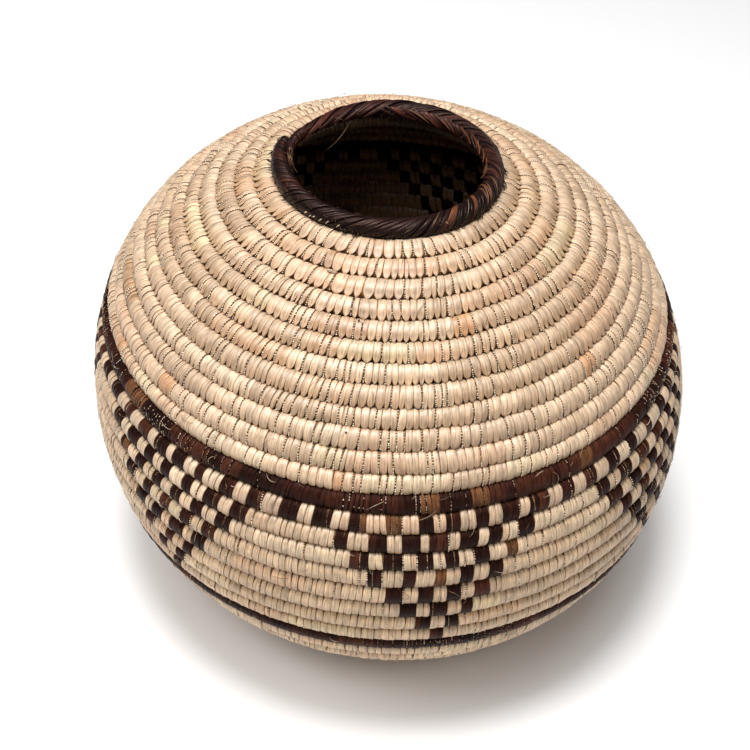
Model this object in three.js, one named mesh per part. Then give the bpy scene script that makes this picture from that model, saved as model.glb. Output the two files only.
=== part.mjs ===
// A round-bellied coiled basket of palm leaf, open at the top. One long coil of bundled leaf rib starts
// at a knot in the middle of the flat base. It winds outwards, up round the belly and in over the
// shoulder to the mouth, where a coil of its own is sewn on as the rim. Each turn of the coil, a course,
// is a part: the maker sews them on one by one, and two of them are dyed dark all round.
// Millimetres, +Z up. The origin is on the floor, under the middle of the base.
import * as THREE from "three";

// The wall's profile, through the middle of the coil.
const BELLY_RADIUS = 131;
const BELLY_HEIGHT = 102.5;
const MOUTH_RADIUS = 39.5;
const MOUTH_HEIGHT = 216.3;
const MOUTH_SLOPE = 13.6; // degrees that the shoulder falls away from level at the mouth
const FOOT_RADIUS = 49.5; // of the flat base, where the wall begins to rise
const KNOT_RADIUS = 6;

// How far each curve of the profile runs straight on before it turns.
const MOUTH_REACH = 62;
const SHOULDER_REACH = 53;
const FLANK_REACH = 65.4;
const FOOT_REACH = 32;

// The mouth stands a little to one side of the base, as it was sewn: sideways shift over height.
const LEAN = 0.0435;

// The coil.
const FINE_PITCH = 8.5; // from course to course, from the mouth to the upper checks; lower down it is more
const COIL_THICKNESS = 8.6; // across the wall
const COURSE_GAP = 0.3;
const START_TURN = 0.15; // the bundle's thin first end, in turns from where the spiral would begin
const END_TAPER_TURN = 0.1; // how much of the last turn thins out under the rim
const END_FULLNESS = 0.4; // what is left of the bundle at its last end
const JOINT_AZIMUTH = 154.3; // degrees, where one course ends and the next begins

// Courses, from the mouth down. One dark band lies over the checks and one dark ring under them.
const SHOULDER_COURSES = 12;
const CHECK_COURSES = 8;
const LOWER_COURSES = 11;
const BASE_COURSES = 5;
const FINE_COURSES = 17; // from the mouth down to where the bundle gets thicker, to fill what is left

// The rim.
const RIM_RADIUS = 3.95;
const RIM_LIFT = 52; // degrees above level, from the middle of the last course up to the rim's middle
const RIM_DELAY = 10; // degrees from the end of the last course on to the rim's blunt start
const RIM_OVERLAP = 27; // degrees that the rim's tapered end runs on inside its own start
const RIM_TAPER = 95; // degrees over which that end thins out
const RIM_TAPER_POWER = 1.2;
const RIM_END_RADIUS = 1;

// Facets.
const STEPS_PER_TURN = 28;
const RIM_STEPS_PER_TURN = 56;
const RIM_SIDES = 8;

const NATURAL = { color: 0xdcc096, roughness: 0.72 };
const DARK = { color: 0x351c15, roughness: 0.6 };
const RIM_DARK = { color: 0x2a1512, roughness: 0.62 };

const halfThickness = COIL_THICKNESS / 2;
const radians = THREE.MathUtils.degToRad;

// The profile runs from the knot's edge out along the base, up the flank and in over the shoulder.
// Its points are (radius, height).
const point = (radius, height) => new THREE.Vector2(radius, height);
const slope = radians(MOUTH_SLOPE);
const profile = new THREE.CurvePath();
profile.add(new THREE.LineCurve(point(KNOT_RADIUS, halfThickness), point(FOOT_RADIUS, halfThickness)));
profile.add(
  new THREE.CubicBezierCurve(
    point(FOOT_RADIUS, halfThickness),
    point(FOOT_RADIUS + FOOT_REACH, halfThickness),
    point(BELLY_RADIUS, BELLY_HEIGHT - FLANK_REACH),
    point(BELLY_RADIUS, BELLY_HEIGHT),
  ),
);
profile.add(
  new THREE.CubicBezierCurve(
    point(BELLY_RADIUS, BELLY_HEIGHT),
    point(BELLY_RADIUS, BELLY_HEIGHT + SHOULDER_REACH),
    point(MOUTH_RADIUS + MOUTH_REACH * Math.cos(slope), MOUTH_HEIGHT - MOUTH_REACH * Math.sin(slope)),
    point(MOUTH_RADIUS, MOUTH_HEIGHT),
  ),
);
const profileLength = profile.getLength();

// The place and the inward-running direction of the profile at a length from the knot's edge. Past the
// mouth it runs straight on.
function profileAt(length) {
  const inside = THREE.MathUtils.clamp(length / profileLength, 0, 1);
  const along = profile.getTangent(inside);
  const at = profile.getPoint(inside);
  at.addScaledVector(along, length - inside * profileLength);
  return { at, along };
}

// The spiral. The coil's outer edge at a turn is the next turn's inner edge.
const wallAboveRing = SHOULDER_COURSES + 1 + CHECK_COURSES;
const turns = wallAboveRing + 1 + LOWER_COURSES + BASE_COURSES;
const coarseCourses = turns - FINE_COURSES;
const coarsePitch = (profileLength - FINE_COURSES * FINE_PITCH) / coarseCourses;

function edgeLength(turn) {
  const coarse = THREE.MathUtils.clamp(turn, 0, coarseCourses);
  const fine = Math.max(turn - coarseCourses, 0);
  return coarse * coarsePitch + fine * FINE_PITCH;
}

// The coil's middle, its half height along the wall and its half thickness at a turn.
function coilAt(turn) {
  const lower = edgeLength(turn - 1);
  const whole = edgeLength(turn) - lower;
  const thinning = THREE.MathUtils.clamp((turn - turns + END_TAPER_TURN) / END_TAPER_TURN, 0, 1);
  const height = whole * (1 - thinning * (1 - END_FULLNESS));
  const fullness = Math.min(1, height / FINE_PITCH);
  return {
    ...profileAt(lower + height / 2),
    halfHeight: (height - COURSE_GAP) / 2,
    halfThickness: halfThickness * Math.sqrt(fullness),
  };
}

function place(radius, height, azimuth) {
  return new THREE.Vector3(radius * Math.cos(azimuth) - LEAN * height, radius * Math.sin(azimuth), height);
}

// The coil's section: six corners, flat inside and outside. across is out of the wall, up is along it.
function sectionCorners({ halfHeight, halfThickness: half }) {
  return [
    { across: half, up: halfHeight / 2 },
    { across: half, up: -halfHeight / 2 },
    { across: 0, up: -halfHeight },
    { across: -half, up: -halfHeight / 2 },
    { across: -half, up: halfHeight / 2 },
    { across: 0, up: halfHeight },
  ];
}

// The underside is worn flat at the floor.
function sectionRing(coil, azimuth) {
  const outward = point(coil.along.y, -coil.along.x);
  return sectionCorners(coil).map(({ across, up }) => {
    const corner = coil.at.clone().addScaledVector(outward, across).addScaledVector(coil.along, up);
    return place(corner.x, Math.max(corner.y, 0), azimuth);
  });
}

// A closed body over a row of rings that each have the same corners.
function bodyOver(rings) {
  const sides = rings[0].length;
  const positions = rings.flat().flatMap((corner) => corner.toArray());
  const faces = [];
  for (let ring = 0; ring < rings.length - 1; ring += 1) {
    for (let side = 0; side < sides; side += 1) {
      const a = ring * sides + side;
      const b = ring * sides + ((side + 1) % sides);
      faces.push(a, b, b + sides, a, b + sides, a + sides);
    }
  }
  const last = (rings.length - 1) * sides;
  for (let side = 1; side < sides - 1; side += 1) {
    faces.push(0, side + 1, side);
    faces.push(last, last + side, last + side + 1);
  }
  const geometry = new THREE.BufferGeometry();
  geometry.setAttribute("position", new THREE.Float32BufferAttribute(positions, 3));
  geometry.setIndex(faces);
  geometry.computeVertexNormals();
  return geometry;
}

function azimuthAt(turn) {
  return radians(JOINT_AZIMUTH) + turn * 2 * Math.PI;
}

// One course: a turn of the coil, short of the next one by the gap.
function courseGeometry(index) {
  const first = index === 0 ? START_TURN : index;
  const last = index + 1 - COURSE_GAP / (2 * Math.PI * coilAt(index + 1).at.x);
  const stops = [first];
  for (let step = 1; step < STEPS_PER_TURN; step += 1) {
    const turn = index + step / STEPS_PER_TURN;
    if (turn > first) stops.push(turn);
  }
  stops.push(last);
  return bodyOver(stops.map((turn) => sectionRing(coilAt(turn), azimuthAt(turn))));
}

// The knot that the spiral starts round: a low button, as thick as the coil.
function knotGeometry() {
  const radius = KNOT_RADIUS - COURSE_GAP / 2;
  const edge = COIL_THICKNESS / 8;
  const outline = [
    point(0, 0),
    point(radius - edge, 0),
    point(radius, edge),
    point(radius, COIL_THICKNESS - edge),
    point(radius - edge, COIL_THICKNESS),
    point(0, COIL_THICKNESS),
  ];
  return new THREE.LatheGeometry(outline, STEPS_PER_TURN / 2).rotateX(Math.PI / 2);
}

// The rim rides on the last course, up and in from its middle, and clears its corners.
const lift = radians(RIM_LIFT);
const rimDirection = point(-Math.cos(lift), Math.sin(lift));
const rimSeat = coilAt(turns - END_TAPER_TURN);
const rimOutward = point(rimSeat.along.y, -rimSeat.along.x);
const seatReach = Math.max(
  ...sectionCorners(rimSeat).map(
    ({ across, up }) => across * rimDirection.dot(rimOutward) + up * rimDirection.dot(rimSeat.along),
  ),
);
const rimStep = seatReach + COURSE_GAP + RIM_RADIUS;
const rimStart = RIM_DELAY / 360;
const rimEnd = 1 + rimStart + RIM_OVERLAP / 360;

function rimRadius(turn) {
  const thinning = THREE.MathUtils.clamp((turn - rimEnd) * (360 / RIM_TAPER) + 1, 0, 1);
  return THREE.MathUtils.lerp(RIM_RADIUS, RIM_END_RADIUS, thinning ** RIM_TAPER_POWER);
}

// Where the rim thins out it keeps its outer side, and so it stays close to its own start.
function rimCentre(turn) {
  const under = turns - 1 + turn;
  const middle = (edgeLength(under) + edgeLength(under - 1)) / 2;
  const { at, along } = profileAt(middle);
  return at.addScaledVector(rimDirection, rimStep).addScaledVector(along, rimRadius(turn) - RIM_RADIUS);
}

function rimGeometry() {
  const steps = Math.round((rimEnd - rimStart) * RIM_STEPS_PER_TURN);
  const rings = [];
  for (let step = 0; step <= steps; step += 1) {
    const turn = THREE.MathUtils.lerp(rimStart, rimEnd, step / steps);
    const centre = rimCentre(turn);
    const ring = [];
    for (let side = 0; side < RIM_SIDES; side += 1) {
      const angle = ((side + 0.5) / RIM_SIDES) * 2 * Math.PI;
      const corner = point(Math.sin(angle), Math.cos(angle)).multiplyScalar(rimRadius(turn)).add(centre);
      ring.push(place(corner.x, corner.y, azimuthAt(turn)));
    }
    rings.push(ring);
  }
  return bodyOver(rings);
}

// The least gap between the rim's tapered end and its own start, on points.
function rimOwnGap() {
  const samples = 48;
  let least = Infinity;
  for (let i = 0; i <= samples; i += 1) {
    const tailTurn = THREE.MathUtils.lerp(1 + rimStart, rimEnd, i / samples);
    const tail = rimCentre(tailTurn);
    const start = rimCentre(tailTurn - 1);
    least = Math.min(least, tail.distanceTo(start) - rimRadius(tailTurn) - rimRadius(tailTurn - 1));
  }
  return least;
}
console.log("least gap between the rim's end and its start: " + rimOwnGap().toFixed(2) + " mm");

const basket = new THREE.Group();

function add(name, geometry, look) {
  const mesh = new THREE.Mesh(geometry, new THREE.MeshStandardMaterial({ ...look, metalness: 0 }));
  mesh.name = name;
  basket.add(mesh);
}

// A course's name and look, from how many courses lie between it and the mouth.
function courseKind(fromMouth) {
  const belowRing = fromMouth - wallAboveRing;
  const fromKnot = turns - fromMouth;
  if (fromMouth < SHOULDER_COURSES) return ["shoulder_course_" + (SHOULDER_COURSES - fromMouth), NATURAL];
  if (fromMouth === SHOULDER_COURSES) return ["dark_band_course", DARK];
  if (belowRing < 0) return ["check_course_" + -belowRing, NATURAL];
  if (belowRing === 0) return ["dark_ring_course", DARK];
  if (fromKnot > BASE_COURSES) return ["lower_course_" + (fromKnot - BASE_COURSES), NATURAL];
  return ["base_course_" + fromKnot, NATURAL];
}

add("start_knot", knotGeometry(), NATURAL);
for (let index = 0; index < turns; index += 1) {
  const [name, look] = courseKind(turns - 1 - index);
  add(name, courseGeometry(index), look);
}
add("rim_coil", rimGeometry(), RIM_DARK);

export default basket;
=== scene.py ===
# A round-bellied coiled basket of palm leaf. Each course of the coil is dressed with its stitches, one
# closed strip of leaf each, over a bundle of leaf ribs. Two courses are dyed dark all round, eight carry
# checks in triangles, and the rim is overcast with dark splints. Sizes are in millimetres, as in the
# part's source, and each mesh is written in metres.
import math

import bpy
import numpy as np
from mathutils import Matrix, Vector


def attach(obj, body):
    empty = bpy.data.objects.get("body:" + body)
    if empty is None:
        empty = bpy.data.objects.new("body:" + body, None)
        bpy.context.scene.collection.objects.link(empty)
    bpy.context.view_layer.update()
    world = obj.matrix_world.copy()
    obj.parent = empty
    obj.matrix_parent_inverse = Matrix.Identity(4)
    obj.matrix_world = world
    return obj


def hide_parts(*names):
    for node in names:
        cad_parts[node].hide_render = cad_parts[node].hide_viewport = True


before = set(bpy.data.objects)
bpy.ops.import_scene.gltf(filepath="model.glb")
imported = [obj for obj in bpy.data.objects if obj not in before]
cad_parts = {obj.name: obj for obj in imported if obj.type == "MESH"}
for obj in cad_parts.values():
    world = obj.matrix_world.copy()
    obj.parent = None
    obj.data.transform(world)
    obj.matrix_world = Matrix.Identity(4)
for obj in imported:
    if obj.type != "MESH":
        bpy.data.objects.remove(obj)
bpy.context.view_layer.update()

MM = 0.001
TURN = 2 * math.pi
SEED = 11

# The wall's profile, through the middle of the coil.
BELLY_RADIUS = 131
BELLY_HEIGHT = 102.5
MOUTH_RADIUS = 39.5
MOUTH_HEIGHT = 216.3
MOUTH_SLOPE = math.radians(13.6)
FOOT_RADIUS = 49.5
KNOT_RADIUS = 6
MOUTH_REACH = 62
SHOULDER_REACH = 53
FLANK_REACH = 65.4
FOOT_REACH = 32
LEAN = 0.0435

# The coil. Its turns count up from the knot, and RING and BAND are the dark courses' first turns.
FINE_PITCH = 8.5
HALF_THICKNESS = 4.3
START_TURN = 0.15
END_TAPER_TURN = 0.1
END_FULLNESS = 0.4
JOINT_AZIMUTH = math.radians(154.3)
SHOULDER_COURSES = 12
CHECK_COURSES = 8
LOWER_COURSES = 11
BASE_COURSES = 5
FINE_COURSES = 17
RING = BASE_COURSES + LOWER_COURSES
BAND = RING + 1 + CHECK_COURSES
TURNS = BAND + 1 + SHOULDER_COURSES

# Smooth noises along the coil: a seed, how many values there are to a turn, and their spread.
EDGE_WOBBLES = ((SEED, 40, 0.16), (SEED + 1, 12, 0.14))
THICKNESS_WOBBLE = (SEED + 2, 25, 0.02)
SLANT_WOBBLE = (SEED + 6, 30, 0.06)
CLUSTER_WOBBLE = (SEED + 8, 14, 0.5)
WIDTH_WOBBLE = (SEED + 9, 7, 0.17)

# How far the edges between courses stray from an even pitch, in mm, apart from the wobble of sewing. From
# the belly to the mouth the courses get a little taller, shorter and taller. The flank's courses sit higher,
# from the turns where that comes to those where it goes, and the band more.
STEADY_TURNS = 4
BELLY_TURN = 24
PACKING = 1.0
RAISED = 1.25
RAISED_FROM = (11, 15)
RAISED_TO = (25.35, 26.25)
BAND_RAISED = 0.5
BAND_TURN = 23.9

# The rim.
RIM_RADIUS = 3.95
RIM_LIFT = math.radians(52)
RIM_DELAY = 10
RIM_OVERLAP = 27
RIM_TAPER = 95
RIM_TAPER_POWER = 1.2
RIM_END_RADIUS = 1
RIM_START = RIM_DELAY / 360
RIM_END = 1 + RIM_START + RIM_OVERLAP / 360
RIM_STEP = 8.45

# The checks: so many triangles round the belly, each on its point, and the azimuth of one's middle.
TRIANGLES = 7
TRIANGLE_AZIMUTH = 280
PAIRS_PER_TRIANGLE = CHECK_COURSES + 1
# How far each triangle's checks swing from side to side, in degrees, and by how many pairs that is ahead.
TRIANGLE_SWINGS = ((1.2, 3.9), (0.9, 1), (1.1, 5), (0.8, 2), (1.2, 6.5), (0.9, 0), (1.0, 4.5))
# How far a check strays, in pairs, and its width's mean, spread and limits in shares of half a pair.
CHECK_STRAY = 0.03
CHECK_WIDTH = (1.02, 0.14)
CHECK_LIMITS = (0.72, 1.35)
# No strip is cut from less of the coil than this, in turns.
LEAST_STRETCH = 1e-4

# The stitches. Widths, domes and slits are in mm.
NATURAL_WIDTH = 2.8
DARK_WIDTH = 2.0
WIDTH_SPREAD = 0.2
WIDTH_LIMITS = (0.55, 1.7)
ROUNDNESS = 2.3
SHOULDER_DOME = 0.115
LOWER_DOME = 0.11
DARK_DOME = 0.1
STITCH_LEAN = 0.07
TIGHT_SLIT = (-0.26, 0.03)
LOWER_SLIT = (-0.1, 0.14)
LOOSE_SLIT = (0.0, 0.16)
LOOSE_SHARE = 0.14
BEADED_SLIT = 0.5
DARK_BEADED_NARROWING = 0.55
# The share of beaded slits on the shoulder, below it, and between dark stitches. The band's comes and goes
# round its mean between limits.
BEADED_SHARES = (0.36, 0.13, 0.24)
BAND_BEADED_SHARE = 0.22
BAND_BEADED_LIMITS = (0.08, 0.75)
# Where on the band most slits are beaded with pale fibres.
PALE_BEAD_AZIMUTHS = (261.3, 273)
PALE_BEADED_SHARE = 0.75


def bezier(start, first, second, end, count=500):
    t = np.linspace(0, 1, count)[:, None]
    corners = [np.array(p, float) for p in (start, first, second, end)]
    share = ((1 - t) ** 3, 3 * (1 - t) ** 2 * t, 3 * (1 - t) * t**2, t**3)
    return sum(s * c for s, c in zip(share, corners))


def lengths_along(paths):
    """How far along it each point of paths[..., point, coordinate] lies."""
    steps = np.linalg.norm(np.diff(paths, axis=-2), axis=-1)
    return np.concatenate([np.zeros((*steps.shape[:-1], 1)), np.cumsum(steps, axis=-1)], -1)


def unit(vectors):
    return vectors / np.linalg.norm(vectors, axis=-1, keepdims=True)


def wall_profile():
    """Points (radius, height) from the knot's edge to the mouth, and their lengths along the profile."""
    foot, belly = (FOOT_RADIUS, HALF_THICKNESS), (BELLY_RADIUS, BELLY_HEIGHT)
    base = np.linspace((KNOT_RADIUS, HALF_THICKNESS), foot, 200)
    foot_handle = (FOOT_RADIUS + FOOT_REACH, HALF_THICKNESS)
    flank = bezier(foot, foot_handle, (BELLY_RADIUS, BELLY_HEIGHT - FLANK_REACH), belly)
    mouth_handle = (
        MOUTH_RADIUS + MOUTH_REACH * math.cos(MOUTH_SLOPE),
        MOUTH_HEIGHT - MOUTH_REACH * math.sin(MOUTH_SLOPE),
    )
    shoulder_handle = (BELLY_RADIUS, BELLY_HEIGHT + SHOULDER_REACH)
    shoulder = bezier(belly, shoulder_handle, mouth_handle, (MOUTH_RADIUS, MOUTH_HEIGHT))
    points = np.concatenate([base, flank[1:], shoulder[1:]])
    return points, lengths_along(points)


PROFILE, PROFILE_LENGTHS = wall_profile()
PROFILE_ALONG = np.gradient(PROFILE, PROFILE_LENGTHS, axis=0)
PROFILE_LENGTH = PROFILE_LENGTHS[-1]
COARSE_COURSES = TURNS - FINE_COURSES
COARSE_PITCH = (PROFILE_LENGTH - FINE_COURSES * FINE_PITCH) / COARSE_COURSES


def profile_at(length):
    """Place and direction (radius, height) at lengths from the knot's edge; straight on past the mouth."""
    inside = np.clip(length, 0, PROFILE_LENGTH)
    at, along = [
        np.stack([np.interp(inside, PROFILE_LENGTHS, column) for column in points.T], -1)
        for points in (PROFILE, PROFILE_ALONG)
    ]
    along = unit(along)
    return at + along * (length - inside)[..., None], along


def edge_length(turn):
    coarse = np.clip(turn, 0, COARSE_COURSES)
    return coarse * COARSE_PITCH + np.maximum(turn - COARSE_COURSES, 0) * FINE_PITCH


def wobble(turn, seed, per_turn, spread):
    """Smooth noise at turns of the coil. Its values lie a turn's 1/per_turn apart."""
    rng = np.random.default_rng(seed)
    values = rng.normal(0, spread, int((TURNS + 3) * per_turn) + 4)
    steps = (np.asarray(turn, float) + 1) * per_turn
    whole = np.floor(steps).astype(int)
    share = steps - whole
    share = share * share * (3 - 2 * share)
    return values[whole] * (1 - share) + values[whole + 1] * share


def edge_shift(turn):
    """How far a hand-sewn edge between courses strays along the wall."""
    fade = np.clip(turn / STEADY_TURNS, 0, 1)
    round_belly = np.clip(turn - BELLY_TURN, 0, TURNS - BELLY_TURN) / (TURNS - BELLY_TURN)
    return (
        fade * sum(wobble(turn, *each) for each in EDGE_WOBBLES)
        + PACKING * np.sin(TURN * round_belly)
        + RAISED * np.interp(turn, (*RAISED_FROM, *RAISED_TO), (0, 1, 1, 0))
        + BAND_RAISED * np.exp(-((turn - BAND_TURN) ** 2))
    )


def coil_at(turn):
    """The coil's middle and direction, half its height and half its thickness, at turns."""
    turn = np.asarray(turn, float)
    lower = edge_length(turn - 1) + edge_shift(turn - 1)
    whole = edge_length(turn) + edge_shift(turn) - lower
    thinning = np.clip((turn - TURNS + END_TAPER_TURN) / END_TAPER_TURN, 0, 1)
    height = whole * (1 - thinning * (1 - END_FULLNESS))
    at, along = profile_at(lower + height / 2)
    fullness = np.sqrt(np.minimum(1, height / FINE_PITCH))
    thickness = HALF_THICKNESS * fullness * (1 + wobble(turn, *THICKNESS_WOBBLE))
    return at, along, height / 2, thickness


def azimuth_at(turn):
    return JOINT_AZIMUTH + turn * TURN


def place(radius, height, azimuth):
    height = np.maximum(height, 0)
    return np.stack([radius * np.cos(azimuth) - LEAN * height, radius * np.sin(azimuth), height], -1)


def on_wall(at, along, out, up, azimuth):
    """Places that lie out of the wall and up along it, in mm, from points of its profile."""
    outward = np.stack([along[..., 1], -along[..., 0]], -1)
    flat = at + outward * out[..., None] + along * up[..., None]
    return place(flat[..., 0], flat[..., 1], azimuth)


def turns_from_joint(azimuth):
    """The azimuth, in degrees, as turns from where one course ends and the next begins."""
    return (azimuth - math.degrees(JOINT_AZIMUTH)) / 360


def rounded(angle, power):
    """The cosines and sines of a squarer circle, or at a power over 1 of a more pointed one."""
    return [np.sign(wave) * np.abs(wave) ** power for wave in (np.cos(angle), np.sin(angle))]


def fibre_map(across, along):
    return np.stack(np.broadcast_arrays(across, along), -1)


# Meshes.

# In the bake map a tube's cell holds its side, clear of the cell's edges, and its two ends as discs above.
CELL_INSET = 0.06
SIDE_FLOOR = 0.03
SIDE_HEIGHT = 0.9
END_MIDDLES = (0.3, 0.7)
END_LEVEL = 0.965
END_REACH = (0.1, 0.015)


def add_object(name, data):
    added = bpy.data.objects.new(name, data)
    bpy.context.scene.collection.objects.link(added)
    return added


def add_piece(name, shape, material, slot, *nodes):
    """A mesh from a shape, which rides on the part and may stand in for nodes of it."""
    mesh = bpy.data.meshes.new(name)
    places = shape["places"].reshape(-1, 3)
    mesh.vertices.add(len(places))
    mesh.vertices.foreach_set("co", (places * MM).astype(np.float32).ravel())
    corners = np.concatenate([rows.ravel() for rows in shape["faces"]]).astype(np.int32)
    counts = np.concatenate([np.full(len(rows), rows.shape[1]) for rows in shape["faces"]])
    mesh.loops.add(len(corners))
    mesh.loops.foreach_set("vertex_index", corners)
    mesh.polygons.add(len(counts))
    starts = np.concatenate([[0], np.cumsum(counts)[:-1]]).astype(np.int32)
    mesh.polygons.foreach_set("loop_start", starts)
    mesh.polygons.foreach_set("use_smooth", np.ones(len(counts), bool))
    for layer, values in shape["maps"].items():
        mesh.uv_layers.new(name=layer).uv.foreach_set("vector", values.astype(np.float32).ravel())
    for layer, values in shape["values"].items():
        kind, field = ("FLOAT_COLOR", "color") if values.ndim == 4 else ("FLOAT", "value")
        attribute = mesh.attributes.new(layer, kind, "POINT")
        attribute.data.foreach_set(field, values.astype(np.float32).ravel())
    mesh.materials.append(material)
    mesh.update(calc_edges=True)
    mesh.validate()
    piece = add_object(name, mesh)
    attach(piece, "root")
    if nodes:
        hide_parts(*nodes)


def tubes(places, fibre, values=None, columns=None):
    """The shape of closed tubes from places[tube, ring, side, xyz] and fibre[tube, ring, side, uv] in mm.
    It holds their faces as rows of corners, the fibre map, a bake map with a cell to each tube, and values
    at their points."""
    count, rings, sides = places.shape[:3]
    ring, side = [each.ravel() for each in np.meshgrid(range(rings - 1), range(sides), indexing="ij")]
    a = ring * sides + side
    b = ring * sides + (side + 1) % sides
    first = np.arange(sides)[None]
    faces = (np.stack([a, a + sides, b + sides, b], 1), first, (rings - 1) * sides + first[:, ::-1])
    across = np.stack([side, side, side + 1, side + 1], 1) / sides
    up = np.stack([ring, ring + 1, ring + 1, ring], 1) / (rings - 1)
    spots = [np.stack([CELL_INSET + (1 - 2 * CELL_INSET) * across, SIDE_FLOOR + SIDE_HEIGHT * up], -1)]
    angle = np.arange(sides) / sides * TURN
    for middle, sign in zip(END_MIDDLES, (1, -1)):
        level = END_LEVEL + END_REACH[1] * sign * np.sin(angle)
        spots.append(np.stack([middle + END_REACH[0] * np.cos(angle), level], -1)[None])
    columns = columns or max(1, round(math.sqrt(10 * count)))
    cell = np.stack([np.arange(count) % columns, np.arange(count) // columns], 1)[:, None, None]
    grid = (columns, math.ceil(count / columns))
    flat = fibre.reshape(count, rings * sides, 2)
    maps = {"fibre": [flat[:, rows] for rows in faces], "OFBake": [(cell + spot) / grid for spot in spots]}
    for name, parts in maps.items():
        maps[name] = np.concatenate([part.reshape(-1, 2) for part in parts])
    offset = (np.arange(count) * rings * sides)[:, None, None]
    faces = [(rows[None] + offset).reshape(-1, rows.shape[1]) for rows in faces]
    return {"places": places, "faces": faces, "maps": maps, "values": values or {}}


# Colours are linear. A leaf has a tone, and a share of all leaves of its kind.

NATURAL_LEAVES = {
    "cream": ((0.68, 0.490, 0.330), 0.32),
    "tan": ((0.61, 0.430, 0.282), 0.32),
    "pale": ((0.71, 0.530, 0.362), 0.13),
    "peach": ((0.63, 0.415, 0.265), 0.165),
    "orange": ((0.60, 0.335, 0.175), 0.0),
    "brown": ((0.46, 0.285, 0.158), 0.015),
    "green": ((0.66, 0.505, 0.322), 0.05),
}
DARK_LEAVES = {
    "black": ((0.0185, 0.0064, 0.0046), 0.42),
    "dark": ((0.0310, 0.0098, 0.0066), 0.40),
    "brown": ((0.0620, 0.0195, 0.0110), 0.16),
    "rust": ((0.170, 0.0700, 0.0300), 0.02),
}
RIM_LEAVES = {
    "black": ((0.0100, 0.0046, 0.0040), 0.32),
    "dark": ((0.0200, 0.0076, 0.0060), 0.46),
    "brown": ((0.0400, 0.0130, 0.0092), 0.22),
}
# Leaves that stand out on the front: the row from the mouth, the azimuths they span, and their tone.
NATURAL_RUNS = (
    (1, 216, 220, "brown"), (1, 258.5, 269, "peach"), (2, 245, 248.5, "brown"), (5, 276, 288, "pale"),
    (5, 288, 295, "orange"), (11, 197, 202, "peach"), (11, 221, 226, "orange"), (11, 263.5, 274.5, "peach"),
    (12, 203, 206.5, "orange"), (12, 222, 227, "peach"), (12, 261.5, 264, "orange"), (12, 264, 267, "peach"),
    (12, 267, 281, "green"), (9, 317, 321, "orange"),
)
DARK_RUNS = (
    (13, 213, 219, "rust"), (13, 277, 280.5, "rust"), (13, 286, 289.5, "rust"), (13, 297, 303, "brown"),
    (17, 280, 283, "rust"),
)
# Some splints are warmer at the right of the mouth. All are lighter at its back, by so much, as painted
# light: a sheen from behind.
RIM_WARM_TONE = np.array([0.150, 0.0500, 0.0240])
RIM_WARM_AZIMUTHS = (290, 342)
RIM_WARM_SHARE = 0.4
RIM_BACK_PAINTED_LIGHT = np.array([0.9, 0.6, 0.5])
BEAD_TONES = ((0.88, 0.70, 0.51), (0.68, 0.48, 0.30), (0.36, 0.20, 0.09))
# The leaf greys towards the foot: what is left of its colour there, and the turns over which that goes.
LOWER_LEAF = np.array([0.97, 0.93, 0.815])
GREY_TURNS = (18, 25)
# Painted shade: the inside is darker near the mouth. The share of its colour that this shade takes, and the
# turns over which that comes on.
MOUTH_PAINTED_SHADE = 0.65
MOUTH_PAINTED_SHADE_TURNS = (32, 36)
TONE_SPREAD = 0.06
COLOUR_LIMITS = (0.004, 0.92)


def leaf_colours(count, rng, leaves, run, vary):
    """One colour to a stitch: a leaf of one tone makes a run of stitches before the next leaf."""
    tones, shares = zip(*leaves)
    tones = np.array(tones)
    colours = np.empty((count, 3))
    start = 0
    while start < count:
        length = int(rng.integers(*run))
        tone = tones[rng.choice(len(tones), p=shares)] * rng.normal(1, TONE_SPREAD)
        colours[start : start + length] = tone
        start += length
    colours *= rng.normal(1, vary, (count, 1))
    return np.clip(colours, *COLOUR_LIMITS)


def leaf_tubes(places, fibre, colours, shade=1, edge=0, inner=0, low=0):
    """Tubes of leaf in a colour each. shade, edge, inner and low are numbers, or arrays for their rings and
    sides: shade is what is left of the colour under painted shade, and the rest is how much of a point lies
    at the strip's edge, inside the basket and low on its course, where the material paints shade, at the edge
    only partly."""
    shape = places.shape[:3]
    colour = np.broadcast_to(colours[:, None, None, :] * shade, (*shape, 3))
    values = {"leaf": np.concatenate([colour, np.ones((*shape, 1))], -1)}
    for name, value in (("edge", edge), ("inner", inner), ("low", low)):
        values[name] = np.broadcast_to(value, shape)
    return tubes(places, fibre, values)


# Stitches.

def stitch_path(outer_tip, outer_width, top_width):
    """A stitch's way round the coil's section, from its outer tip over the top to its inner tip, as
    (out, up) in shares of the coil's half thickness and half height, with its width at each step."""
    angle = np.radians([-38, -24, -8, 8, 24, 40, 56, 74, 100, 130, 160, 190, 220])
    loop = np.stack(rounded(angle, 2 / ROUNDNESS), 1)
    inner_tip = [(-0.80, -1.0), (-0.62, -1.16)]
    path = np.concatenate([outer_tip, loop, inner_tip])
    width = np.ones(len(path))
    width[:5] = outer_width
    width[8:12] = top_width
    width[-2:] = (0.8, 0.4)
    return path, width


# Near the mouth the outer tips hang over the course below. Further down they are drawn in tight, and each
# stitch is pinched at its top by the tips of the course above.
HANGING_PATH, HANGING_WIDTH = stitch_path(
    [(0.66, -1.25), (0.75, -1.08), (0.78, -0.9)], (0.2, 0.57, 0.84, 0.97, 1), (1, 0.95, 0.84, 0.88)
)
TIGHT_PATH, TIGHT_WIDTH = stitch_path(
    [(0.42, -1.09), (0.56, -1.0), (0.70, -0.86)], (0.45, 0.78, 0.95, 1, 1), (0.99, 0.9, 0.74, 0.8)
)
HANGING_TURN = 32
TIGHT_TURN = 25.5
# The strips are drawn together at their tops, where each stands up in a ridge.
RIDGE = np.array([0.8, 0.75, 0.75, 0.8, 0.85, 0.9, 1.0, 1.15, 1.4, 1.8, 2.0, 1.7, 1.3, 1, 1, 1, 1, 1])


def hang_at(turn):
    share = np.clip((np.asarray(turn, float) - TIGHT_TURN) / (HANGING_TURN - TIGHT_TURN), 0, 1)
    return share[..., None]


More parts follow.
